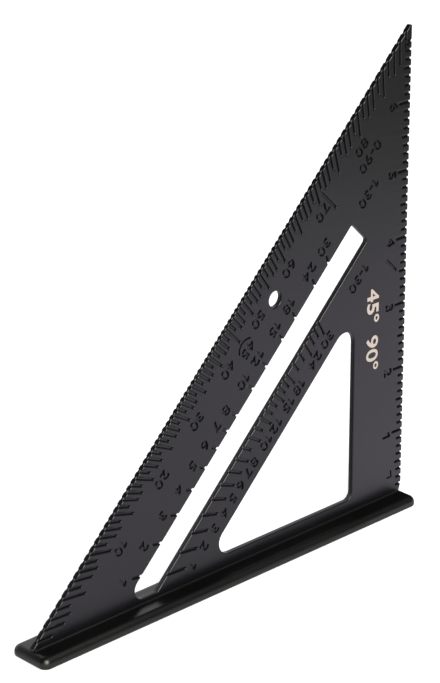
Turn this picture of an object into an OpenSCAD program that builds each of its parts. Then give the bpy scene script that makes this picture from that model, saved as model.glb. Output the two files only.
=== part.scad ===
// Carpenter's rafter square, 7 inch size, after one photograph.
// A triangular blade, graduated in recessed marks, is let into a T-shaped fence.
// Units are millimetres. The fence lies along X, its underside is on Z = 0, the graduated face looks to -Y.
// Blade sketches are drawn from the pivot corner: x runs left (negative) along the fence, z runs up the upright edge.

/* [Blade] */
// length of each leg, from the pivot corner to where the long edge meets that leg
leg = 181; // [178:0.5:190]
// thickness of the blade plate
blade_t = 2.2; // [1.8:0.1:3.2]
// small flat that blunts both sharp ends of the blade
tip_flat = 0.8; // [0.75:0.05:1.4]
// rounding of the blade's long edge and upright edge
blade_edge_r = 0.3; // [0.2:0.05:0.35]
// width of the bar along the long edge
long_bar_w = 27.6; // [25:0.2:28.6]
// width of the bar between the slot and the window
inner_bar_w = 13.8; // [13:0.2:17]
// width of the bar along the upright edge
upright_bar_w = 26.7; // [23:0.1:30]
// how far the foot of the upright edge curves back from the pivot corner
pivot_relief = 1.2; // [0.8:0.1:2]
// height above the fence at which that curve starts
pivot_relief_h = 5; // [4:0.2:6]
// depth of the tongue below the blade, hidden in the fence
tongue_h = 2.4; // [1.6:0.2:2.8]
// how far each end of the tongue stops short of the blade's ends
tongue_inset = 8; // [6:1:20]

/* [Slot] */
// width of the long slot, square to the long edge
slot_w = 11.4; // [8:0.1:12]
// height of the slot's sill above the fence
slot_sill_h = 2; // [1.6:0.2:4]
// how far the slot runs past the middle of the long edge
slot_reach = 59.7; // [50:0.1:64]
// radius of the slot's narrow lower corner
slot_toe_r = 4; // [2:0.2:5]
// radius of the slot's other corners
slot_corner_r = 1.4; // [0.8:0.2:3]

/* [Window] */
// height of the window's sill above the fence
window_sill_h = 5.1; // [4:0.1:8]
// radius of the window's two narrow corners
window_toe_r = 5; // [3:0.5:7]
// radius of the window's square corner
window_heel_r = 3; // [1.5:0.5:6]

/* [Hang hole] */
// bore of the hang hole
hole_d = 6; // [4:0.5:8]
// distance of the hang hole from the long edge
hole_inset = 13.2; // [12.6:0.2:14.4]
// distance of the hang hole past the middle of the long edge
hole_along = 20; // [16:0.4:24]

/* [Graduations] */
// width of every recessed mark
mark_w = 1.3; // [0.8:0.1:1.5]
// depth of every recessed mark
mark_h = 0.65; // [0.2:0.05:0.75]
// length of the marks for one and four degrees past each five
degree_short = 4.3; // [3:0.1:4.8]
// length of the marks for two and three degrees past each five
degree_middle = 6.3; // [5:0.1:7]
// length of the mark at each five degrees
degree_long = 7.7; // [7.2:0.1:8.5]
// length of the mark at forty-five degrees
degree_centre = 9.4; // [8.6:0.1:10.5]
// length of the eighth-inch marks
eighth_mark = 2; // [1.2:0.1:2.4]
// length of the half-inch marks
half_mark = 3; // [2.5:0.1:3.6]
// length of the inch marks
inch_mark = 5.2; // [4:0.1:6]
// length of the common rafter marks beside the slot
common_mark = 3.4; // [2:0.1:5]
// length of the numbered hip rafter marks beside the slot
hip_mark = 6.2; // [5:0.1:7]
// length of the hip rafter marks without a number
hip_mark_short = 4.3; // [3:0.1:4.8]
// how far inside the long edge the cross line starts
cross_start = 4.2; // [3:0.1:6]
// length of the cross line's piece near the long edge
cross_upper = 11.8; // [8:0.2:16]
// length of the cross line's piece at the upright edge
cross_lower = 14; // [8:0.5:16]

/* [Fence] */
// width of the fence across the blade
fence_w = 17.6; // [14:0.1:24]
// thickness of the fence
fence_t = 4; // [3.6:0.1:6]
// how far the fence stands out past each end of the blade's lower leg
fence_over = 1; // [0.5:0.1:1.2]
// rounding of the fence's top edges, all the way round
fence_top_r = 1.9; // [0.8:0.1:2.1]
// rounding of the fence's foot edges, all the way round
fence_foot_r = 0.8; // [0.5:0.1:1.2]
// rounding of the fence's four corners in plan
fence_corner_r = 2.6; // [2.4:0.2:4]
// radius of the concave lip on both sides of the blade
lip_r = 0.6; // [0.3:0.1:1.2]
// how far each end of the lips runs out over the fence's rounded end
lip_run = 0.3; // [0.2:0.05:0.4]
// clearance on each side of the tongue for the bonded joint
joint_clear = 0.05; // [0.02:0.01:0.15]
// room left under the tongue for the bonding film
joint_floor = 0.1; // [0.05:0.05:0.3]

/* [Hidden] */
$fn = 48;
inch = 25.4;
eighth = inch / 8;
root_two = sqrt(2);
overcut = 1;
arc_steps = 10;
// bare length left at the top of the inch scale
scale_margin = 6;
// distances from the pivot corner, square to the long edge
long_edge = leg / root_two;
slot_outer = long_edge - long_bar_w;
slot_inner = slot_outer - slot_w;
window_outer = slot_inner - inner_bar_w;
hole_line = long_edge - hole_inset;
eighth_count = floor((leg - scale_margin) / eighth);
fence_l = leg + 2 * fence_over;
numbered_rises = [1, 2, 3, 4, 5, 6, 7, 8, 10, 12, 15, 18, 24, 30];
plain_rises = [9, 11, 13, 14, 16, 17, 20, 22, 26, 28];
common_run = 12;
hip_run = 12 * root_two;

// turns a place given along and square to the long edge into a blade sketch point
function slant(along, square_to) = [(along - square_to) / root_two, (along + square_to) / root_two];

function towards(from, to) = (to - from) / norm(to - from);

function turned(vector, angle) = [
    vector[0] * cos(angle) - vector[1] * sin(angle),
    vector[0] * sin(angle) + vector[1] * cos(angle)
];

// arc that rounds one corner of a sketch, between the corners before and after it
function rounded_corner(before, corner, after, radius) =
    let (
        back = towards(corner, before),
        onward = towards(corner, after),
        half = acos(back * onward) / 2,
        centre = corner + towards([0, 0], back + onward) * radius / sin(half),
        first = corner + back * radius / tan(half) - centre,
        turn = (2 * half - 180) * sign(cross(back, onward))
    )
    [for (step = [0 : arc_steps]) centre + turned(first, turn * step / arc_steps)];

// closed sketch with each corner rounded by its own radius
function rounded_outline(corners, radii) =
    let (count = len(corners))
    [for (i = [0 : count - 1])
        each rounded_corner(corners[(i + count - 1) % count], corners[i], corners[(i + 1) % count], radii[i])];

function degree_length(degree) =
    degree == 45 ? degree_centre :
    degree % 5 == 0 ? degree_long :
    degree % 5 == 1 || degree % 5 == 4 ? degree_short : degree_middle;

function inch_length(count) =
    count % 8 == 0 ? inch_mark :
    count % 4 == 0 ? half_mark : eighth_mark;

// curve at the foot of the upright edge, from the edge down to the fence
function pivot_curve() =
    let (
        radius = (pow(pivot_relief_h, 2) + pow(pivot_relief, 2)) / (2 * pivot_relief),
        sweep = asin(pivot_relief_h / radius)
    )
    [for (step = [0 : arc_steps])
        let (angle = sweep * step / arc_steps)
        [radius * (cos(angle) - 1), pivot_relief_h - radius * sin(angle)]];

module blade_outline() {
    polygon([
        [-leg + tip_flat, 0],
        [-leg + tip_flat, tip_flat],
        [-tip_flat, leg - tip_flat],
        [0, leg - tip_flat],
        each pivot_curve(),
        [-tongue_inset, 0],
        [-tongue_inset, -tongue_h],
        [-leg + tongue_inset, -tongue_h],
        [-leg + tongue_inset, 0]
    ]);
}

module slot_outline() {
    corners = [
        [slot_sill_h - slot_outer * root_two, slot_sill_h],
        [slot_sill_h - slot_inner * root_two, slot_sill_h],
        slant(slot_reach, slot_inner),
        slant(slot_reach, slot_outer)
    ];
    polygon(rounded_outline(corners, [slot_toe_r, slot_corner_r, slot_corner_r, slot_corner_r]));
}

module window_outline() {
    corners = [
        [window_sill_h - window_outer * root_two, window_sill_h],
        [-upright_bar_w, window_sill_h],
        [-upright_bar_w, window_outer * root_two - upright_bar_w]
    ];
    polygon(rounded_outline(corners, [window_toe_r, window_heel_r, window_toe_r]));
}

// one recessed mark on the ray at this angle, between two lines parallel to the long edge
module ray_mark(angle, from, to) {
    reach = cos(angle - 45);
    rotate(180 - angle)
        translate([from / reach, -mark_w / 2])
            square([(to - from) / reach, mark_w]);
}

module degree_marks() {
    for (degree = [1 : 89])
        ray_mark(degree, long_edge - degree_length(degree), long_edge + overcut);
}

module inch_marks() {
    for (count = [1 : eighth_count])
        translate([-inch_length(count), count * eighth - mark_w / 2])
            square([inch_length(count) + overcut, mark_w]);
}

module rafter_marks() {
    for (rise = numbered_rises)
        ray_mark(atan2(rise, common_run), slot_outer - overcut, slot_outer + common_mark);
    for (rise = numbered_rises)
        ray_mark(atan2(rise, hip_run), slot_inner - hip_mark, slot_inner + overcut);
    for (rise = plain_rises)
        ray_mark(atan2(rise, hip_run), slot_inner - hip_mark_short, slot_inner + overcut);
}

// a broken line square to the long edge, in line with the slot's upper end
module cross_line() {
    for (piece = [
        [long_edge - cross_start - cross_upper, cross_upper],
        [slot_reach - overcut, cross_lower + overcut]
    ])
        translate(slant(slot_reach, piece[0]))
            rotate(135)
                translate([0, -mark_w / 2])
                    square([piece[1], mark_w]);
}

// stands a blade sketch on the fence, with its pivot corner half a leg to the right of the middle
module stand(thickness, front) {
    translate([leg / 2, front + thickness, fence_t])
        rotate([90, 0, 0])
            linear_extrude(thickness)
                children();
}

// cross-section of a plate whose outer edge, at this distance, is rounded on both faces
module rounded_edge(distance) {
    inner_t = blade_t / 2 - blade_edge_r;
    translate([-overcut, -blade_t / 2])
        square([distance - blade_edge_r + overcut, blade_t]);
    translate([-overcut, -inner_t])
        square([distance + overcut, 2 * inner_t]);
    for (side = [-1, 1])
        translate([distance - blade_edge_r, side * inner_t])
            circle(r = blade_edge_r);
}

module blade_plate() {
    intersection() {
        stand(blade_t, -blade_t / 2) blade_outline();
        translate([leg / 2, 0, fence_t])
            rotate([0, 225, 0])
                linear_extrude(3 * leg, center = true) rounded_edge(long_edge);
        translate([-leg / 2, 0, 0])
            linear_extrude(2 * leg) rounded_edge(leg);
    }
}

module blade() {
    through = blade_t + 2 * overcut;
    front = -blade_t / 2;
    rear = blade_t / 2;
    color("DimGray")
    difference() {
        blade_plate();
        stand(through, front - overcut) slot_outline();
        stand(through, front - overcut) window_outline();
        stand(through, front - overcut)
            translate(slant(hole_along, hole_line)) circle(d = hole_d);
        for (face = [front - overcut, rear - mark_h]) {
            stand(mark_h + overcut, face) degree_marks();
            stand(mark_h + overcut, face) inch_marks();
        }
        stand(mark_h + overcut, front - overcut) rafter_marks();
        stand(mark_h + overcut, front - overcut) cross_line();
    }
}

// upright section of the fence between two rounded sides, this far apart
module fence_section(width) {
    side_h = fence_t - fence_top_r;
    for (side = [-1, 1]) {
        translate([side * (width / 2 - fence_top_r), side_h]) circle(r = fence_top_r);
        translate([side * (width / 2 - fence_foot_r), fence_foot_r]) circle(r = fence_foot_r);
    }
    translate([-width / 2, fence_foot_r]) square([width, side_h - fence_foot_r]);
    translate([-width / 2 + fence_foot_r, 0]) square([width - 2 * fence_foot_r, side_h]);
    translate([-width / 2 + fence_top_r, fence_foot_r]) square([width - 2 * fence_top_r, fence_t - fence_foot_r]);
}

module fence_plan() {
    for (end = [-1, 1])
        for (side = [-1, 1])
            translate([end * (fence_l / 2 - fence_corner_r), side * (fence_w / 2 - fence_corner_r)])
                circle(r = fence_corner_r);
    square([fence_l, fence_w - 2 * fence_corner_r], center = true);
    square([fence_l - 2 * fence_corner_r, fence_w], center = true);
}

// the bar of the fence, with its edges rounded along both sides and both ends
module fence_bar() {
    intersection() {
        translate([-fence_l / 2 - overcut, 0, 0])
            rotate([90, 0, 90])
                linear_extrude(fence_l + 2 * overcut) fence_section(fence_w);
        translate([0, fence_w / 2 + overcut, 0])
            rotate([90, 0, 0])
                linear_extrude(fence_w + 2 * overcut) fence_section(fence_l);
        translate([0, 0, -overcut])
            linear_extrude(fence_t + 2 * overcut) fence_plan();
    }
}

// the concave lips on both sides of the blade's foot, over the whole flat top
module fence_lips() {
    half_w = blade_t / 2 + joint_clear;
    lip_l = fence_l - 2 * fence_top_r + 2 * lip_run;
    translate([-lip_l / 2, 0, fence_t])
        rotate([90, 0, 90])
            linear_extrude(lip_l)
                for (side = [0, 1])
                    mirror([side, 0])
                        difference() {
                            translate([half_w, -overcut]) square([lip_r, lip_r + overcut]);
                            translate([half_w + lip_r, lip_r]) circle(r = lip_r);
                        }
}

module fence() {
    groove_l = leg - 2 * tongue_inset + 2 * joint_clear;
    groove_w = blade_t + 2 * joint_clear;
    color("Black")
    difference() {
        union() {
            fence_bar();
            fence_lips();
        }
        translate([-groove_l / 2, -groove_w / 2, fence_t - tongue_h - joint_floor])
            cube([groove_l, groove_w, tongue_h + joint_floor + overcut]);
    }
}

fence();
blade();
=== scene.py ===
import math

import bmesh
import bpy
from mathutils import Matrix, Vector
from mathutils.geometry import interpolate_bezier, intersect_line_line_2d


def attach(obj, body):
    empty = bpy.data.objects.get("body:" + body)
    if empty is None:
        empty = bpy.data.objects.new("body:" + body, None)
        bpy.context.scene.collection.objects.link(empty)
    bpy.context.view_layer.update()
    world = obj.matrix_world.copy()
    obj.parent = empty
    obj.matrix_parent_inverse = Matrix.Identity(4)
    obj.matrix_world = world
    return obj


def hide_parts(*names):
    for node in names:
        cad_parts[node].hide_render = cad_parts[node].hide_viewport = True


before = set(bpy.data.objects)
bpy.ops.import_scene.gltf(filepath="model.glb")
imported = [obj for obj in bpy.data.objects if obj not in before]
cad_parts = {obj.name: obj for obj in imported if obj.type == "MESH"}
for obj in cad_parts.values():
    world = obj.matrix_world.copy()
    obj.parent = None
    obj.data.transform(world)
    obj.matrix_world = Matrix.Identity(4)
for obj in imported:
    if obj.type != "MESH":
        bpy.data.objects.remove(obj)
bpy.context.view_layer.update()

# Fence
# The bar that hooks over a board's edge, an aluminium casting with every edge rounded and a small
# concave lip on both sides of the blade. It is coated in black before the blade is bonded into it.
MM = 0.001
FENCE_LENGTH = 183.0 * MM
FENCE_WIDTH = 17.6 * MM
FENCE_HEIGHT = 4.0 * MM
FENCE_TOP_ROUND = 2.6 * MM
FENCE_FOOT_ROUND = 0.9 * MM
FENCE_CORNER_ROUND = 3.0 * MM
FENCE_SMOOTH_BELOW = 35
LIP_ROUND = 0.6 * MM
LIP_SINK = 0.3 * MM
LIP_RUN = 0.3 * MM
JOINT_CLEARANCE = 0.05 * MM
BLADE_THICKNESS = 2.2
ROUND_STEPS = 8


def quarter_turn():
    """Angles of a quarter turn in even steps."""
    return [step / ROUND_STEPS * math.pi / 2 for step in range(ROUND_STEPS + 1)]


def rounded_rectangle(length, width, corner, height):
    """Points of a rectangle with round corners, lying flat at this height."""
    points = []
    for quarter in range(4):
        end = 1 if quarter in (0, 3) else -1
        side = 1 if quarter in (0, 1) else -1
        centre = Vector((end * (length / 2 - corner), side * (width / 2 - corner), height))
        for turn in quarter_turn():
            angle = quarter * math.pi / 2 + turn
            points.append(centre + corner * Vector((math.cos(angle), math.sin(angle), 0)))
    return points


def fence_rings():
    """Levels of the fence from its underside to its flat top."""
    foot = [
        (FENCE_FOOT_ROUND * (1 - math.sin(angle)), FENCE_FOOT_ROUND * (1 - math.cos(angle)))
        for angle in quarter_turn()
    ]
    top = [
        (FENCE_TOP_ROUND * (1 - math.cos(angle)), FENCE_HEIGHT - FENCE_TOP_ROUND * (1 - math.sin(angle)))
        for angle in quarter_turn()
    ]
    rings = []
    for inset, height in foot + top:
        length = FENCE_LENGTH - 2 * inset
        width = FENCE_WIDTH - 2 * inset
        rings.append(rounded_rectangle(length, width, FENCE_CORNER_ROUND - inset, height))
    return rings


def stacked_rings(rings):
    """A closed mesh skinned over a stack of rings with the same number of points."""
    mesh = bmesh.new()
    levels = [[mesh.verts.new(point) for point in ring] for ring in rings]
    count = len(levels[0])
    for low, high in zip(levels, levels[1:]):
        for i in range(count):
            j = (i + 1) % count
            mesh.faces.new((low[i], low[j], high[j], high[i]))
    mesh.faces.new(list(reversed(levels[0])))
    mesh.faces.new(levels[-1])
    return mesh


def lip_mesh(side):
    """The concave lip on one side of the blade, sunk a little into the fence's top."""
    foot = BLADE_THICKNESS / 2 * MM + JOINT_CLEARANCE
    section = [(foot, FENCE_HEIGHT - LIP_SINK), (foot + LIP_ROUND, FENCE_HEIGHT - LIP_SINK)]
    for angle in quarter_turn():
        section.append((
            foot + LIP_ROUND * (1 - math.sin(angle)),
            FENCE_HEIGHT + LIP_ROUND * (1 - math.cos(angle)),
        ))
    end = FENCE_LENGTH / 2 - FENCE_TOP_ROUND + LIP_RUN
    return stacked_rings([[Vector((x, side * y, z)) for y, z in section] for x in (-end, end)])


def solid_object(name, mesh):
    """An object that holds this mesh, with every face turned outwards."""
    bmesh.ops.recalc_face_normals(mesh, faces=mesh.faces)
    data = bpy.data.meshes.new(name)
    mesh.to_mesh(data)
    mesh.free()
    made = bpy.data.objects.new(name, data)
    bpy.context.collection.objects.link(made)
    return made


def evaluated_mesh(source):
    """The mesh that an object shows with its modifiers or its curve settings applied."""
    graph = bpy.context.evaluated_depsgraph_get()
    return bpy.data.meshes.new_from_object(source.evaluated_get(graph))


def drop_object(made):
    """Take a helper object out of the scene."""
    bpy.data.objects.remove(made, do_unlink=True)


def cast_together(name, first, added, sunk=()):
    """One solid out of several that overlap, with others sunk into it."""
    steps = [("UNION", other) for other in added] + [("DIFFERENCE", other) for other in sunk]
    for operation, other in steps:
        step = first.modifiers.new(operation, "BOOLEAN")
        step.operation = operation
        step.solver = "MANIFOLD"
        step.object = other
    merged = bpy.data.objects.new(name, evaluated_mesh(first))
    bpy.context.collection.objects.link(merged)
    for helper in (first, *added, *sunk):
        drop_object(helper)
    return merged


def smooth_rounds(piece, smooth_below):
    """Shade edges smoothly where they turn by less than this many degrees, and keep flat faces flat."""
    piece.data.shade_smooth()
    piece.data.set_sharp_from_angle(angle=math.radians(smooth_below))
    weighted = piece.modifiers.new("flat_faces", "WEIGHTED_NORMAL")
    weighted.keep_sharp = True


fence = cast_together(
    "fence_bar",
    solid_object("fence_bar_body", stacked_rings(fence_rings())),
    [solid_object("fence_lip_front", lip_mesh(-1)), solid_object("fence_lip_rear", lip_mesh(1))],
)
smooth_rounds(fence, FENCE_SMOOTH_BELOW)

# The sprayed coat's relief, clouds and dust, which both pieces share, and the fence's own finish.
PEEL_SCALE = 1400
PEEL_DETAIL = 3
PEEL_ROUGHNESS = 0.6
PEEL_STRENGTH = 0.35
PEEL_DEPTH = 0.02 * MM
CLOUD_SCALE = 38
CLOUD_DETAIL = 5
CLOUD_EDGES = (0.35, 0.7)
SPECK_SCALE = 260
SPECK_EDGES = (0.09, 0.03)
COAT_IOR = 1.5
FENCE_BLACK = (0.0007, 0.0007, 0.0008)
FENCE_SPECKS = (0.003, 0.003, 0.003)
FENCE_SHEEN = (1.0, 0.98, 1.0)
FENCE_ROUGHNESS = 0.30
FENCE_CLOUDS = 0.04


def new_group(name, inputs, outputs):
    """A shader node group with named inputs and outputs."""
    group = bpy.data.node_groups.new(name, "ShaderNodeTree")
    for label, kind in inputs:
        group.interface.new_socket(label, in_out="INPUT", socket_type=kind)
    for label, kind in outputs:
        group.interface.new_socket(label, in_out="OUTPUT", socket_type=kind)
    return group, group.nodes.new("NodeGroupInput"), group.nodes.new("NodeGroupOutput")


def coat_surface_group():
    """Sprayed coat in the object's own coordinates: orange peel, cloudy roughness and dust specks."""
    group, given, put = new_group(
        "sprayed_coat",
        [
            ("Base Colour", "NodeSocketColor"),
            ("Speck Colour", "NodeSocketColor"),
            ("Base Roughness", "NodeSocketFloat"),
            ("Cloud Roughness", "NodeSocketFloat"),
        ],
        [("Colour", "NodeSocketColor"), ("Roughness", "NodeSocketFloat"), ("Height", "NodeSocketFloat")],
    )
    nodes = group.nodes
    links = group.links
    place = nodes.new("ShaderNodeTexCoord")

    def texture(kind, **settings):
        """A texture that stays fixed to the object."""
        node = nodes.new(kind)
        for label, value in settings.items():
            node.inputs[label].default_value = value
        links.new(place.outputs["Object"], node.inputs["Vector"])
        return node

    def mask(source, edges):
        """A mask that rises from nothing at the first edge to all at the second."""
        node = nodes.new("ShaderNodeMapRange")
        node.inputs["From Min"].default_value = edges[0]
        node.inputs["From Max"].default_value = edges[1]
        links.new(source, node.inputs["Value"])
        return node.outputs["Result"]

    def worked_out(operation, *terms):
        """The result of an operation on these values."""
        node = nodes.new("ShaderNodeMath")
        node.operation = operation
        for socket, term in zip(node.inputs, terms):
            links.new(term, socket)
        return node.outputs["Value"]

    peel = texture("ShaderNodeTexNoise", Scale=PEEL_SCALE, Detail=PEEL_DETAIL, Roughness=PEEL_ROUGHNESS)
    clouds = texture("ShaderNodeTexNoise", Scale=CLOUD_SCALE, Detail=CLOUD_DETAIL)
    specks = texture("ShaderNodeTexVoronoi", Scale=SPECK_SCALE)
    cloud_mask = mask(clouds.outputs["Fac"], CLOUD_EDGES)
    speck_mask = mask(specks.outputs["Distance"], SPECK_EDGES)
    colour = nodes.new("ShaderNodeMix")
    colour.data_type = "RGBA"
    links.new(worked_out("MULTIPLY", speck_mask, cloud_mask), colour.inputs["Factor"])
    links.new(given.outputs["Base Colour"], colour.inputs["A"])
    links.new(given.outputs["Speck Colour"], colour.inputs["B"])
    roughness = worked_out(
        "MULTIPLY_ADD", cloud_mask, given.outputs["Cloud Roughness"], given.outputs["Base Roughness"],
    )
    links.new(colour.outputs["Result"], put.inputs["Colour"])
    links.new(roughness, put.inputs["Roughness"])
    links.new(peel.outputs["Fac"], put.inputs["Height"])
    return group


sprayed_coat = coat_surface_group()


def sprayed_material(name, colour, specks, roughness, clouds, relief, relief_depth):
    """Material whose colour, roughness and fine relief come from the sprayed coat."""
    material = bpy.data.materials.new(name)
    material.use_nodes = True
    nodes = material.node_tree.nodes
    links = material.node_tree.links
    shader = nodes["Principled BSDF"]
    coat = nodes.new("ShaderNodeGroup")
    coat.node_tree = sprayed_coat
    coat.inputs["Base Colour"].default_value = (*colour, 1)
    coat.inputs["Speck Colour"].default_value = (*specks, 1)
    coat.inputs["Base Roughness"].default_value = roughness
    coat.inputs["Cloud Roughness"].default_value = clouds
    bump = nodes.new("ShaderNodeBump")
    bump.inputs["Strength"].default_value = relief
    bump.inputs["Distance"].default_value = relief_depth
    links.new(coat.outputs["Colour"], shader.inputs["Base Color"])
    links.new(coat.outputs["Roughness"], shader.inputs["Roughness"])
    links.new(coat.outputs["Height"], bump.inputs["Height"])
    links.new(bump.outputs["Normal"], shader.inputs["Normal"])
    return material


def coated_metal(name, colour, specks, sheen, roughness, clouds):
    """Metal under a black sprayed coat, which tints what it mirrors by its sheen."""
    material = sprayed_material(name, colour, specks, roughness, clouds, PEEL_STRENGTH, PEEL_DEPTH)
    shader = material.node_tree.nodes["Principled BSDF"]
    shader.inputs["IOR"].default_value = COAT_IOR
    shader.inputs["Specular Tint"].default_value = (*sheen, 1)
    return material


def cover(piece, material):
    """Give the whole piece one material."""
    piece.data.materials.clear()
    piece.data.materials.append(material)


cover(fence, coated_metal(
    "fence_coat", FENCE_BLACK, FENCE_SPECKS, FENCE_SHEEN, FENCE_ROUGHNESS, FENCE_CLOUDS,
))
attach(fence, "root")
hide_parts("fence")

# Blade
# The triangular plate that carries the scales, a flat aluminium casting with its marks and numbers
# sunk into both faces. It is coated in black, and its lower edge is bonded into the fence.

# In millimetres on the blade's face, from the pivot corner: minus x runs to the tip, y up to the apex.
RIGHT_ANGLE = 90
HALF_RIGHT_ANGLE = RIGHT_ANGLE // 2
SLOPE = math.radians(HALF_RIGHT_ANGLE)
LEG = 181.0
LONG_BAR_WIDTH = 27.6
SLOT_WIDTH = 11.4
INNER_BAR_WIDTH = 13.8
UPRIGHT_BAR_WIDTH = 26.7
TIP_FLAT = 0.8
APEX_FLAT = 0.8
PIVOT_RELIEF = 1.2
PIVOT_RELIEF_HEIGHT = 5.0
SLOT_SILL = 2.0
SLOT_REACH = 59.7
SLOT_TOE_ROUND = 4.0
SLOT_CORNER_ROUND = 1.4
WINDOW_SILL = 5.1
WINDOW_TOE_ROUND = 5.0
WINDOW_HEEL_ROUND = 3.0
HOLE_BORE = 6.0
HOLE_INSET = 13.2
HOLE_ALONG = 20.0
HOLE_STEPS = 6 * ROUND_STEPS
LONG_EDGE = LEG / math.sqrt(2)
SLOT_OUTER = LONG_EDGE - LONG_BAR_WIDTH
SLOT_INNER = SLOT_OUTER - SLOT_WIDTH
WINDOW_OUTER = SLOT_INNER - INNER_BAR_WIDTH


def slant(along, square_to):
    """A place given along and square to the long edge, as a point of the blade's face."""
    return Vector(((along - square_to) / math.sqrt(2), (along + square_to) / math.sqrt(2)))


def heading(angle):
    """The direction at this angle on the blade's face."""
    return Vector((math.cos(angle), math.sin(angle)))


def arc_points(centre, radius, start, sweep):
    """Points of an arc, with its angles in radians."""
    return [
        centre + radius * heading(start + sweep * i / ROUND_STEPS)
        for i in range(ROUND_STEPS + 1)
    ]


def rounded_corner(before, corner, after, radius):
    """Arc that rounds one corner of an outline."""
    back = (before - corner).normalized()
    onward = (after - corner).normalized()
    half = back.angle(onward) / 2
    centre = corner + (back + onward).normalized() * radius / math.sin(half)
    first = corner + back * radius / math.tan(half) - centre
    turn = (2 * half - math.pi) * math.copysign(1, back.x * onward.y - back.y * onward.x)
    return arc_points(centre, radius, math.atan2(first.y, first.x), turn)


def window_outline():
    """Outline of the three-cornered grip window."""
    corners = [
        Vector((WINDOW_SILL - WINDOW_OUTER * math.sqrt(2), WINDOW_SILL)),
        Vector((-UPRIGHT_BAR_WIDTH, WINDOW_SILL)),
        Vector((-UPRIGHT_BAR_WIDTH, WINDOW_OUTER * math.sqrt(2) - UPRIGHT_BAR_WIDTH)),
    ]
    radii = (WINDOW_TOE_ROUND, WINDOW_HEEL_ROUND, WINDOW_TOE_ROUND)
    points = []
    for i in range(3):
        points.extend(rounded_corner(corners[i - 1], corners[i], corners[(i + 1) % 3], radii[i]))
    return points


def hole_outline():
    """Outline of the round hang hole."""
    centre = slant(HOLE_ALONG, LONG_EDGE - HOLE_INSET)
    return [centre + HOLE_BORE / 2 * heading(2 * math.pi * i / HOLE_STEPS) for i in range(HOLE_STEPS)]


# The sunk marks: their section, their lengths, and the rises and runs that the rafter marks stand for.
MARK_WIDTH = 0.7
MARK_FLARE = 0.27
MARK_DEPTH = 0.75
REAR_MARK_DEPTH = 0.35
DEGREE_MARK = 6.3
SHORT_DEGREE_MARK = 4.3
FIVE_DEGREE_MARK = 7.7
HALF_RIGHT_ANGLE_MARK = 9.4
INCH = 25.4
EIGHTH = INCH / 8
INCH_MARK = 5.8
HALF_INCH_MARK = 3.9
EIGHTH_MARK = 3.2
SCALE_MARGIN = 6.0
COMMON_RUN = 12.0
HIP_RUN = COMMON_RUN * math.sqrt(2)
COMMON_MARK = 3.4
HIP_MARK = 6.2
SHORT_HIP_MARK = 4.3
NUMBERED_RISES = (1, 2, 3, 4, 5, 6, 7, 8, 10, 12, 15, 18, 24, 30)
PLAIN_RISES = (9, 11, 13, 14, 16, 17, 20, 22, 26, 28)


def degree_length(degree):
    """Length of a degree mark: the fives are long and their neighbours short."""
    if degree == HALF_RIGHT_ANGLE:
        return HALF_RIGHT_ANGLE_MARK
    if degree % 5 == 0:
        return FIVE_DEGREE_MARK
    return SHORT_DEGREE_MARK if degree % 5 in (1, 4) else DEGREE_MARK


def inch_length(eighths):
    """Length of a mark of the inch scale."""
    if eighths % 8 == 0:
        return INCH_MARK
    return HALF_INCH_MARK if eighths % 4 == 0 else EIGHTH_MARK


def ray_frame(angle):
    """Directions along and across the ray at this angle from the pivot corner."""
    return Vector((-math.cos(angle), math.sin(angle))), Vector((math.sin(angle), math.cos(angle)))


def ray_groove(angle, mouth, depth, first_side):
    """Walls of a sunk mark on a ray: in from its flared mouth, round its end and out again.

    The mouth lies on a line parallel to the long edge, at this distance from the pivot corner.
    """
    along, across = ray_frame(angle)
    reach = math.cos(angle - SLOPE)
    lean = math.sin(SLOPE - angle)
    half = MARK_WIDTH / 2
    inward = math.copysign(1, depth)
    end = along * ((mouth + depth) / reach - inward * half)

    def on_mouth(offset):
        """The place on the mouth's line that lies this far to one side of the ray."""
        return along * ((mouth - offset * lean) / reach) + across * offset

    walls = []
    for side in (first_side, -first_side):
        lip = on_mouth(side * (half + MARK_FLARE))
        throat = on_mouth(side * half) + along * inward * MARK_FLARE
        walls.append((lip, throat))
    round_end = [
        end + half * (math.cos(turn) * first_side * across + math.sin(turn) * inward * along)
        for turn in (math.pi * i / ROUND_STEPS for i in range(ROUND_STEPS + 1))
    ]
    return [*walls[0], *round_end, walls[1][1], walls[1][0]]


def upright_edge(height):
    """How far the upright edge stands out at this height: it curves back at its foot."""
    if height >= PIVOT_RELIEF_HEIGHT:
        return 0.0
    radius = (PIVOT_RELIEF_HEIGHT ** 2 + PIVOT_RELIEF ** 2) / (2 * PIVOT_RELIEF)
    return math.sqrt(radius ** 2 - (PIVOT_RELIEF_HEIGHT - height) ** 2) - radius


def foot_curve(low, high):
    """Points of the upright edge's curved foot between two heights."""
    heights = [PIVOT_RELIEF_HEIGHT * i / ROUND_STEPS for i in range(ROUND_STEPS + 1)]
    return [Vector((upright_edge(height), height)) for height in heights if low < height < high]


def inch_groove(eighths):
    """Walls of one mark of the inch scale, from its lower mouth corner to its upper one."""
    height = eighths * EIGHTH
    half = MARK_WIDTH / 2
    low, high = height - half - MARK_FLARE, height + half + MARK_FLARE
    throat = upright_edge(height) - MARK_FLARE
    return [
        Vector((upright_edge(low), low)),
        Vector((throat, height - half)),
        *arc_points(Vector((half - inch_length(eighths), height)), half, -math.pi / 2, -math.pi),
        Vector((throat, height + half)),
        Vector((upright_edge(high), high)),
    ]


def upright_side(marked):
    """The upright edge from its foot to the top, with or without the inch marks."""
    below_foot = -1
    if not marked:
        return foot_curve(below_foot, LEG)
    points = []
    reached = below_foot
    for eighths in range(1, math.floor((LEG - SCALE_MARGIN) / EIGHTH) + 1):
        groove = inch_groove(eighths)
        points.extend(foot_curve(reached, groove[0].y))
        points.extend(groove)
        reached = groove[-1].y
    return points


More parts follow.
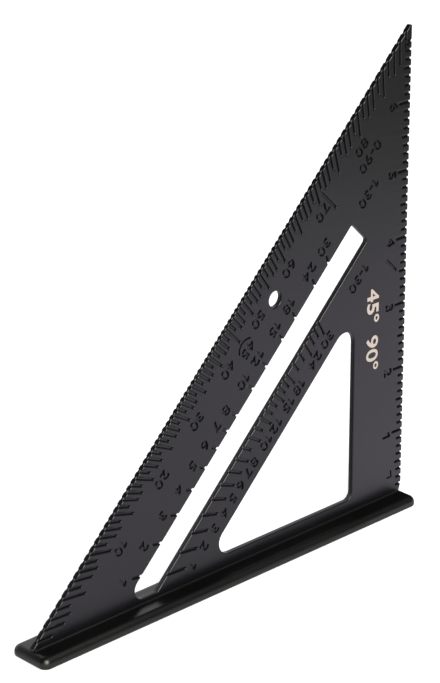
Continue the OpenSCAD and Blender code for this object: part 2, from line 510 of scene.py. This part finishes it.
def blade_outline(marked):
    """Outer outline of the blade, with or without the marks that run out through its edges."""
    points = [Vector((-LEG + TIP_FLAT, 0)), *upright_side(marked)]
    points.append(Vector((0, LEG - APEX_FLAT)))
    points.append(Vector((-APEX_FLAT, LEG - APEX_FLAT)))
    if marked:
        for degree in range(RIGHT_ANGLE - 1, 0, -1):
            points.extend(ray_groove(math.radians(degree), LONG_EDGE, -degree_length(degree), 1))
    points.append(Vector((-LEG + TIP_FLAT, TIP_FLAT)))
    return points


def slot_outline(marked):
    """Outline of the slot, with or without the rafter marks that run out of it."""
    corners = [
        Vector((SLOT_SILL - SLOT_OUTER * math.sqrt(2), SLOT_SILL)),
        Vector((SLOT_SILL - SLOT_INNER * math.sqrt(2), SLOT_SILL)),
        slant(SLOT_REACH, SLOT_INNER),
        slant(SLOT_REACH, SLOT_OUTER),
    ]
    toe = rounded_corner(corners[3], corners[0], corners[1], SLOT_TOE_ROUND)
    heel = rounded_corner(corners[0], corners[1], corners[2], SLOT_CORNER_ROUND)
    head = rounded_corner(corners[1], corners[2], corners[3], SLOT_CORNER_ROUND)
    head += rounded_corner(corners[2], corners[3], corners[0], SLOT_CORNER_ROUND)
    if not marked:
        return toe + heel + head
    hip = []
    for rise in sorted(NUMBERED_RISES + PLAIN_RISES):
        length = HIP_MARK if rise in NUMBERED_RISES else SHORT_HIP_MARK
        hip.extend(ray_groove(math.atan2(rise, HIP_RUN), SLOT_INNER, -length, -1))
    common = []
    for rise in reversed(NUMBERED_RISES):
        common.extend(ray_groove(math.atan2(rise, COMMON_RUN), SLOT_OUTER, COMMON_MARK, 1))
    return toe + heel + hip + head + common


# The strokes, the small signs, and the lines that the numbers stand on.
CROSS_UPPER_INSETS = (5.4, 15.5)
CROSS_LOWER_PLACES = (67.2, 74.4)
ARC_RADIUS = 4.3
ARC_START = math.radians(75)
ARC_SWEEP = math.radians(120)
ARC_STROKE = 0.68
CORNER_SIGN = ((-6.0, 10.0), (-5.6, 7.3), (-8.0, 7.4))
CORNER_SIGN_STROKE = 0.84
DEGREE_NUMBER_LINE = 117.0
HALF_RIGHT_ANGLE_LINE = 113.5
COMMON_NUMBER_LINE = 107.1
HIP_NUMBER_LINE = 80.2
INCH_NUMBER_INSET = 8.7
INCH_NUMBER_DROP = 0.4
NUMBERED_DEGREES = (10, 20, 30, 40, HALF_RIGHT_ANGLE, 50, 60, 70, 80)
NUMBERED_INCHES = (1, 2, 3, 4, 5, 6)
RANGES = (("0-90", 82.0, 110.8), ("1-30", 72.0, 101.5), ("1-30", 47.0, 82.6))
DOWN_THE_SLOPE = math.radians(225)
DOWN_THE_EDGE = math.radians(-90)
REAR_DOWN_THE_SLOPE = math.radians(-45)
REAR_UP_THE_EDGE = math.radians(90)


def straight_stroke(start, end):
    """A straight sunk stroke with round ends."""
    half = MARK_WIDTH / 2
    along = (end - start).normalized()
    bearing = math.atan2(along.y, along.x)
    return [
        *arc_points(end, half, bearing - math.pi / 2, math.pi),
        *arc_points(start, half, bearing + math.pi / 2, math.pi),
    ]


def cross_strokes():
    """The two strokes of the line square to the long edge, level with the slot's upper end."""
    upper = [slant(SLOT_REACH, LONG_EDGE - inset) for inset in CROSS_UPPER_INSETS]
    lower = [slant(SLOT_REACH, square_to) for square_to in CROSS_LOWER_PLACES]
    return [straight_stroke(*upper), straight_stroke(*lower)]


def ray_place(angle, square_to):
    """Where the ray at this angle crosses a line parallel to the long edge."""
    return slant(square_to * math.tan(angle - SLOPE), square_to)


def degree_place(degree):
    """Where the number of this degree mark stands."""
    line = HALF_RIGHT_ANGLE_LINE if degree == HALF_RIGHT_ANGLE else DEGREE_NUMBER_LINE
    return ray_place(math.radians(degree), line)


def inch_place(inches):
    """Where the number of this inch mark stands."""
    return Vector((-INCH_NUMBER_INSET, inches * INCH - INCH_NUMBER_DROP))


def bent_stroke(points, width):
    """A sunk stroke of this width that follows several points."""
    left, right = [], []
    for i, point in enumerate(points):
        before = points[max(i - 1, 0)]
        after = points[min(i + 1, len(points) - 1)]
        along = (after - before).normalized()
        across = Vector((-along.y, along.x)) * width / 2
        left.append(point + across)
        right.append(point - across)
    return left + right[::-1]


def small_signs():
    """The arc over the 45 and the right angle beside the pivot corner."""
    arc = arc_points(degree_place(HALF_RIGHT_ANGLE), ARC_RADIUS, ARC_START, ARC_SWEEP)
    corner = [Vector(place) for place in CORNER_SIGN]
    return [bent_stroke(arc, ARC_STROKE), bent_stroke(corner, CORNER_SIGN_STROKE)]


# The figures: their size, the flag of the 1 in shares of its height, and the steps that make them bold.
NUMBER_HEIGHT = 3.6
NUMBER_DEPTH = 0.7
NUMBER_CLEARANCE = 0.2
NUMBER_WIDENING = 1.2
NUMBER_GAP = 0.5
FLAG_REACH = 0.24
FLAG_TIP_TOP = 0.83
FLAG_TIP_FOOT = 0.70
FLAG_FOOT = 0.84
CURVE_STEPS = 5
BOLD_STEP = 0.05
BOLD_STEPS = 5
INNER_BOLD_STEPS = 1
SHORTEST_SIDE = 0.05
STRAIGHT_BELOW = math.radians(2)
MITRE_LIMIT = 0.6
FOLD_REACH = 8


def flagged_one(bar):
    """The bar of a 1 with a short flag at its top."""
    left = min(co.x for co in bar)
    right = max(co.x for co in bar)
    top = max(co.y for co in bar)
    tip = left - FLAG_REACH * top
    return [
        Vector((left, 0)),
        Vector((right, 0)),
        Vector((right, top)),
        Vector((left, top)),
        Vector((tip, FLAG_TIP_TOP * top)),
        Vector((tip, FLAG_TIP_FOOT * top)),
        Vector((left, FLAG_FOOT * top)),
    ]


def figure_outlines(figure):
    """Outlines of one figure in the program's own plain lettering, with a flag on the 1."""
    lettering = bpy.data.curves.new("figure", "FONT")
    lettering.body = figure
    holder = bpy.data.objects.new("figure", lettering)
    bpy.context.collection.objects.link(holder)
    graph = bpy.context.evaluated_depsgraph_get()
    drawn = holder.evaluated_get(graph).to_curve(graph)
    loops = []
    for spline in drawn.splines:
        knots = list(spline.bezier_points)
        loop = []
        for knot, after in zip(knots, knots[1:] + knots[:1]):
            curve = interpolate_bezier(
                knot.co, knot.handle_right, after.handle_left, after.co, CURVE_STEPS,
            )
            loop += curve[:-1]
        loops.append([co.xy for co in loop])
    drop_object(holder)
    return [flagged_one(loops[0])] if figure == "1" else loops


def moved_off_ink(loop):
    """An outline moved one step away from its ink, without the short sides and folds that this leaves."""
    distinct = [co for i, co in enumerate(loop) if (co - loop[i - 1]).length > SHORTEST_SIDE]
    turning = [
        co for before, co, after in zip(distinct[-1:] + distinct, distinct, distinct[1:] + distinct[:1])
        if (co - before).angle(after - co) > STRAIGHT_BELOW
    ]
    onward = [(after - co).normalized() for co, after in zip(turning, turning[1:] + turning[:1])]
    moved = []
    for i, co in enumerate(turning):
        right_in = Vector((onward[i - 1].y, -onward[i - 1].x))
        right_out = Vector((onward[i].y, -onward[i].x))
        middle = (right_in + right_out).normalized()
        moved.append(co + middle * BOLD_STEP / max(middle.dot(right_in), MITRE_LIMIT))
    return [
        co for co, after, ahead in zip(moved, moved[1:] + moved[:1], onward)
        if (after - co).dot(ahead) > 0
    ]


def without_folds(loop):
    """An outline without the small loops that its move can leave in an inner corner."""
    start = 0
    while start < len(loop):
        turned = loop[start:] + loop[:start]
        start += 1
        for reach in range(2, min(FOLD_REACH, len(loop) - 2)):
            meeting = intersect_line_line_2d(turned[0], turned[1], turned[reach], turned[reach + 1])
            if meeting:
                loop = [turned[0], meeting, *turned[reach + 1:]]
                start = 0
                break
    return loop


def bolder(loop):
    """A figure's outline moved away from its ink, less so around an area that the figure encloses."""
    area = sum(co.x * after.y - co.y * after.x for co, after in zip(loop, loop[1:] + loop[:1])) / 2
    for _ in range(BOLD_STEPS if area > 0 else INNER_BOLD_STEPS):
        loop = moved_off_ink(loop)
    return without_folds(loop)


def number_outlines(body, height):
    """Outlines of a number, its figures widened, made bolder and set close, centred on zero."""
    scale = height / max(co.y for loop in figure_outlines("1") for co in loop)
    loops = []
    reached = 0
    for figure in body:
        shaped = [
            bolder([Vector((co.x * scale * NUMBER_WIDENING, co.y * scale - height / 2)) for co in loop])
            for loop in figure_outlines(figure)
        ]
        left = min(co.x for loop in shaped for co in loop)
        right = max(co.x for loop in shaped for co in loop)
        loops += [[co + Vector((reached - left, 0)) for co in loop] for loop in shaped]
        reached += right - left + NUMBER_GAP
    middle = Vector(((reached - NUMBER_GAP) / 2, 0))
    return [[co - middle for co in loop] for loop in loops]


def placed_number(body, height, centre, turn):
    """A number's outlines, turned and moved to its place on the blade's face."""
    spin = Matrix.Rotation(turn, 2)
    return [[spin @ co + centre for co in loop] for loop in number_outlines(body, height)]


def front_numbers():
    """Numbers of every scale on the front face, and the range of each slanted scale at its upper end."""
    loops = []
    for degree in NUMBERED_DEGREES:
        loops += placed_number(str(degree), NUMBER_HEIGHT, degree_place(degree), DOWN_THE_SLOPE)
    for inches in NUMBERED_INCHES:
        loops += placed_number(str(inches), NUMBER_HEIGHT, inch_place(inches), DOWN_THE_EDGE)
    for run, line in ((COMMON_RUN, COMMON_NUMBER_LINE), (HIP_RUN, HIP_NUMBER_LINE)):
        for rise in NUMBERED_RISES:
            place = ray_place(math.atan2(rise, run), line)
            loops += placed_number(str(rise), NUMBER_HEIGHT, place, DOWN_THE_SLOPE)
    for body, along, square_to in RANGES:
        loops += placed_number(body, NUMBER_HEIGHT, slant(along, square_to), DOWN_THE_SLOPE)
    return loops


def rear_number(body, centre, turn):
    """A number's outlines on the rear face, with its turn as seen from behind."""
    seen_centre = Vector((-centre.x, centre.y))
    return [
        [Vector((-co.x, co.y)) for co in loop]
        for loop in placed_number(body, NUMBER_HEIGHT, seen_centre, turn)
    ]


def rear_numbers():
    """Degree and inch numbers of the rear face, turned over so that they read rightly from behind."""
    loops = []
    for degree in NUMBERED_DEGREES:
        loops += rear_number(str(degree), degree_place(degree), REAR_DOWN_THE_SLOPE)
    for inches in NUMBERED_INCHES:
        loops += rear_number(str(inches), inch_place(inches), REAR_UP_THE_EDGE)
    return loops


# The plate: a plain core between two skins that hold the marks, with rounded rims, and its finish.
RIM_ROUND = 0.42
RIM_STEPS = 2
SHARP = 0
CORE_INSET = 0.01
SKIN_OVERLAP = 0.86
SKETCH_TURN = math.radians(7)
MERGE_DISTANCE = 0.0001 * MM
BLADE_SMOOTH_BELOW = 40
BLADE_BLACK = (0.0032, 0.0029, 0.0037)
BLADE_SPECKS = (0.008, 0.0075, 0.009)
BLADE_SHEEN = (0.92, 0.86, 1.0)
BLADE_ROUGHNESS = 0.28
BLADE_CLOUDS = 0.05


def flat_solid(name, outlines, middle, thickness, rim, inset=0):
    """A plate cut from outlines on the blade's face, standing on the fence, with rims rounded by `rim`.

    It is drawn turned by a few degrees and turned back, because the fill needs its corners at
    different heights.
    """
    spin = Matrix.Rotation(SKETCH_TURN, 2)
    sketch = bpy.data.curves.new(name, "CURVE")
    sketch.dimensions = "2D"
    sketch.fill_mode = "BOTH"
    sketch.extrude = thickness / 2 - rim
    sketch.bevel_depth = rim
    sketch.bevel_resolution = RIM_STEPS
    sketch.offset = -rim - inset
    for outline in outlines:
        spline = sketch.splines.new("POLY")
        spline.points.add(len(outline) - 1)
        spline.use_cyclic_u = True
        for point, place in zip(spline.points, outline):
            point.co = (*(spin @ place), 0, 1)
    holder = bpy.data.objects.new(name, sketch)
    bpy.context.collection.objects.link(holder)
    shape = evaluated_mesh(holder)
    shape.transform(
        Matrix.Translation((LEG / 2 * MM, middle * MM, FENCE_HEIGHT))
        @ Matrix.Rotation(math.pi / 2, 4, "X")
        @ Matrix.Rotation(-SKETCH_TURN, 4, "Z")
        @ Matrix.Scale(MM, 4)
    )
    drop_object(holder)
    mesh = bmesh.new()
    mesh.from_mesh(shape)
    bmesh.ops.remove_doubles(mesh, verts=mesh.verts, dist=MERGE_DISTANCE)
    return solid_object(name, mesh)


openings = [window_outline(), hole_outline()]
core = flat_solid(
    "blade_core",
    [blade_outline(False), slot_outline(False), *openings],
    (MARK_DEPTH - REAR_MARK_DEPTH) / 2,
    BLADE_THICKNESS - MARK_DEPTH - REAR_MARK_DEPTH,
    RIM_ROUND,
    CORE_INSET,
)
front_thickness = MARK_DEPTH + SKIN_OVERLAP
front_skin = flat_solid(
    "blade_front_skin",
    [blade_outline(True), slot_outline(True), *openings, *cross_strokes()],
    (front_thickness - BLADE_THICKNESS) / 2,
    front_thickness,
    RIM_ROUND,
)
rear_thickness = REAR_MARK_DEPTH + SKIN_OVERLAP
rear_skin = flat_solid(
    "blade_rear_skin",
    [blade_outline(True), slot_outline(False), *openings],
    (BLADE_THICKNESS - rear_thickness) / 2,
    rear_thickness,
    RIM_ROUND,
)
figure_thickness = NUMBER_DEPTH + NUMBER_CLEARANCE
figure_middle = (BLADE_THICKNESS - NUMBER_DEPTH + NUMBER_CLEARANCE) / 2
front_figures = flat_solid(
    "front_figures", [*small_signs(), *front_numbers()], -figure_middle, figure_thickness, SHARP,
)
rear_figures = flat_solid("rear_figures", rear_numbers(), figure_middle, figure_thickness, SHARP)
blade = cast_together("blade_plate", core, [front_skin, rear_skin], [front_figures, rear_figures])
smooth_rounds(blade, BLADE_SMOOTH_BELOW)
cover(blade, coated_metal(
    "blade_coat", BLADE_BLACK, BLADE_SPECKS, BLADE_SHEEN, BLADE_ROUGHNESS, BLADE_CLOUDS,
))
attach(blade, "root")
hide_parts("blade")

# Print
# The pale numbers beside the upright edge, a thin film of matt ink on the blade's front face. They
# are pad-printed once the coat has dried.
PRINT_HEIGHT = 5.5
PRINT_DEPTH = 0.04
PRINT_LINE = -17.4
PRINT_PLACES = (("45°", 79.0), ("90°", 60.5))
INK_PALE = (0.52, 0.43, 0.37)
INK_SPECKS = (0.40, 0.33, 0.28)
INK_ROUGHNESS = 0.5
INK_CLOUDS = 0.1
INK_RELIEF = 0.2
INK_RELIEF_DEPTH = 0.01 * MM

print_loops = []
for body, height in PRINT_PLACES:
    print_loops += placed_number(body, PRINT_HEIGHT, Vector((PRINT_LINE, height)), DOWN_THE_EDGE)
printed_numbers = flat_solid("printed_numbers", print_loops, -BLADE_THICKNESS / 2, PRINT_DEPTH, SHARP)
cover(printed_numbers, sprayed_material(
    "print_ink", INK_PALE, INK_SPECKS, INK_ROUGHNESS, INK_CLOUDS, INK_RELIEF, INK_RELIEF_DEPTH,
))
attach(printed_numbers, "root")

# Studio
# A plain white floor with the object's soft shadow, white surroundings and two soft lamps, as in a
# product photograph, and painted reflections: dark, grey and bright cards out of sight that only the
# glossy coat's reflections show, which give no light and cast no shadow.
FLOOR_REACH = 4.0
FLOOR_SHADE = (0.78, 0.78, 0.78)
FLOOR_ROUGHNESS = 0.9
FLOOR_LIFT = 0.5
WHITE = (1, 1, 1)
BLACK = (0, 0, 0)
DARK = (0.02, 0.02, 0.02)
SHADED_GREY = (0.32, 0.34, 0.255)
PAINTED_REFLECTION_WHITE = (1.0, 0.98, 1.04)
PAINTED_HIGHLIGHT_COLOUR = (0.93, 1.0, 0.74)
ON_THE_FLOOR = 0.001
CEILING_HEIGHT = 0.55
WALL_NEAR = (-0.05, -0.62)
WALL_FAR = (0.68, 0.05)
WALL_SPLIT = 0.11
WALL_TOP = 0.40
LAMP_AIM = Vector((0, 0, 0.08))
MATT_LIGHT = 0.7
MIRRORED_LIGHT = 1.0


def floor_material():
    """White paper that clears to white for the camera and keeps the shadow."""
    material = bpy.data.materials.new("studio_paper")
    material.use_nodes = True
    nodes = material.node_tree.nodes
    links = material.node_tree.links
    shader = nodes["Principled BSDF"]
    shader.inputs["Base Color"].default_value = (*FLOOR_SHADE, 1)
    shader.inputs["Roughness"].default_value = FLOOR_ROUGHNESS
    shader.inputs["Specular IOR Level"].default_value = 0
    shader.inputs["Emission Color"].default_value = (*WHITE, 1)
    path = nodes.new("ShaderNodeLightPath")
    lift = nodes.new("ShaderNodeMath")
    lift.operation = "MULTIPLY"
    lift.inputs[1].default_value = FLOOR_LIFT
    links.new(path.outputs["Is Camera Ray"], lift.inputs[0])
    links.new(lift.outputs["Value"], shader.inputs["Emission Strength"])
    return material


def flat_card(name, corners, material):
    """A flat four-cornered card."""
    mesh = bmesh.new()
    mesh.faces.new([mesh.verts.new(corner) for corner in corners])
    card = solid_object(name, mesh)
    card.data.materials.append(material)
    return card


def mirrored_card(name, shade, corners, level=1.0):
    """A card that only reflections show, a painted reflection: it gives no light and casts no shadow."""
    material = bpy.data.materials.new(name + "_reflection_paint")
    material.use_nodes = True
    shader = material.node_tree.nodes["Principled BSDF"]
    shader.inputs["Base Color"].default_value = (*BLACK, 1)
    shader.inputs["Specular IOR Level"].default_value = 0
    shader.inputs["Emission Color"].default_value = (*shade, 1)
    shader.inputs["Emission Strength"].default_value = level
    card = flat_card(name, corners, material)
    card.visible_camera = False
    card.visible_diffuse = False
    card.visible_shadow = False
    card.visible_transmission = False


def level_corners(places, height):
    """Corners of a card that lies level at this height."""
    return [(*place, height) for place in places]


def upright_corners(near, far, low, high):
    """Corners of a card that stands upright over two places, from one height to another."""
    return [(*near, low), (*far, low), (*far, high), (*near, high)]


flat_card("studio_floor", level_corners([
    (-FLOOR_REACH, -FLOOR_REACH), (FLOOR_REACH, -FLOOR_REACH),
    (FLOOR_REACH, FLOOR_REACH), (-FLOOR_REACH, FLOOR_REACH),
], height=0), floor_material())
# Painted dark reflections: the dark and grey cards below are seen only in reflections and darken what the
# glossy coat mirrors. They give no light and cast no shadow.
mirrored_card("dark_floor_left", DARK, level_corners([
    (0.05, 0.012), (-0.40, 0.46), (-0.70, 0.46), (-0.70, 0.012),
], ON_THE_FLOOR))
mirrored_card("dark_sheet_left", DARK, [
    (-0.149, 0.042, 0.005), (0.100, 0.069, 0.218), (0.116, -0.175, 0.737), (-0.540, -0.248, 0.179),
])
mirrored_card("dark_ceiling_right", DARK, level_corners([
    (0.28, -1.10), (1.30, -1.10), (0.85, 0.52), (0.28, 0.52),
], CEILING_HEIGHT))
mirrored_card("dark_card_behind_right", DARK, upright_corners(
    near=(0.114, 0.043), far=(0.163, -0.003), low=0.002, high=0.060,
))
mirrored_card("grey_wall_right", SHADED_GREY, upright_corners(WALL_NEAR, WALL_FAR, 0.0, WALL_SPLIT))
mirrored_card("dark_wall_right", DARK, upright_corners(WALL_NEAR, WALL_FAR, WALL_SPLIT, WALL_TOP))
# Painted reflection: a card a little brighter than the floor, which only reflections show. It lightens
# the lower part of the upright bar as the coat mirrors it.
mirrored_card("painted_reflection_right", PAINTED_REFLECTION_WHITE, level_corners([
    (0.066, -0.010), (0.186, -0.130), (0.330, -0.130), (0.210, -0.010),
], ON_THE_FLOOR), level=1.18)
# Painted highlight: a card that glows far brighter than white though it is no lamp, and only reflections
# show it. It lays the bright line along the blade's rims and small glints on the marks and the fence's
# corner.
mirrored_card("painted_highlight_over_camera", PAINTED_HIGHLIGHT_COLOUR, [
    (-0.374, -0.948, 0.309), (0.096, -0.866, 0.673), (-0.253, -0.411, 1.022), (-0.723, -0.493, 0.658),
], level=11)


def soft_lamp(name, place, size, power):
    """A square soft lamp that looks at the object's middle."""
    lamp = bpy.data.lights.new(name, "AREA")
    lamp.shape = "SQUARE"
    lamp.size = size
    lamp.energy = power
    holder = bpy.data.objects.new(name, lamp)
    bpy.context.collection.objects.link(holder)
    holder.location = place
    holder.rotation_euler = (LAMP_AIM - Vector(place)).to_track_quat("-Z", "Y").to_euler()


soft_lamp("lamp_over_camera", place=(-0.45, -0.98, 0.90), size=0.8, power=15)
soft_lamp("lamp_right", place=(0.75, -0.45, 0.85), size=0.3, power=1.2)


def white_surroundings():
    """White all round, a little lower for the soft light that falls on matt surfaces."""
    world = bpy.data.worlds.new("studio")
    world.use_nodes = True
    bpy.context.scene.world = world
    nodes = world.node_tree.nodes
    links = world.node_tree.links
    background = nodes["Background"]
    background.inputs["Color"].default_value = (*WHITE, 1)
    path = nodes.new("ShaderNodeLightPath")
    seen_or_mirrored = nodes.new("ShaderNodeMath")
    seen_or_mirrored.operation = "MAXIMUM"
    links.new(path.outputs["Is Camera Ray"], seen_or_mirrored.inputs[0])
    links.new(path.outputs["Is Glossy Ray"], seen_or_mirrored.inputs[1])
    clear = nodes.new("ShaderNodeMath")
    clear.operation = "MAXIMUM"
    links.new(seen_or_mirrored.outputs["Value"], clear.inputs[0])
    links.new(path.outputs["Is Transmission Ray"], clear.inputs[1])
    level = nodes.new("ShaderNodeMapRange")
    level.inputs["To Min"].default_value = MATT_LIGHT
    level.inputs["To Max"].default_value = MIRRORED_LIGHT
    links.new(clear.outputs["Value"], level.inputs["Value"])
    links.new(level.outputs["Result"], background.inputs["Strength"])


white_surroundings()
bpy.context.scene.view_settings.view_transform = "Standard"

# Camera
# Set where the photograph was taken from. Its place, its turns and its focal length, in pixels of the
# photograph, were found by fitting the scales and the outlines.
CAMERA_PLACE = (-0.61003, -0.63309, 0.45489)
AZIMUTH = math.radians(-43.833)
ELEVATION = math.radians(22.541)
ROLL = math.radians(0.103)
FOCAL_PIXELS = 2779.5
PHOTO_HEIGHT = 683
SENSOR = 36.0

lens = bpy.data.cameras.new("photo_camera")
lens.sensor_fit = "AUTO"
lens.sensor_width = SENSOR
lens.lens = FOCAL_PIXELS / PHOTO_HEIGHT * SENSOR
lens.clip_start = 0.05
lens.clip_end = 50
camera = bpy.data.objects.new("photo_camera", lens)
bpy.context.collection.objects.link(camera)
camera.matrix_world = (
    Matrix.Translation(CAMERA_PLACE)
    @ Matrix.Rotation(AZIMUTH, 4, "Z")
    @ Matrix.Rotation(math.pi / 2 - ELEVATION, 4, "X")
    @ Matrix.Rotation(-ROLL, 4, "Z")
)
bpy.context.scene.camera = camera
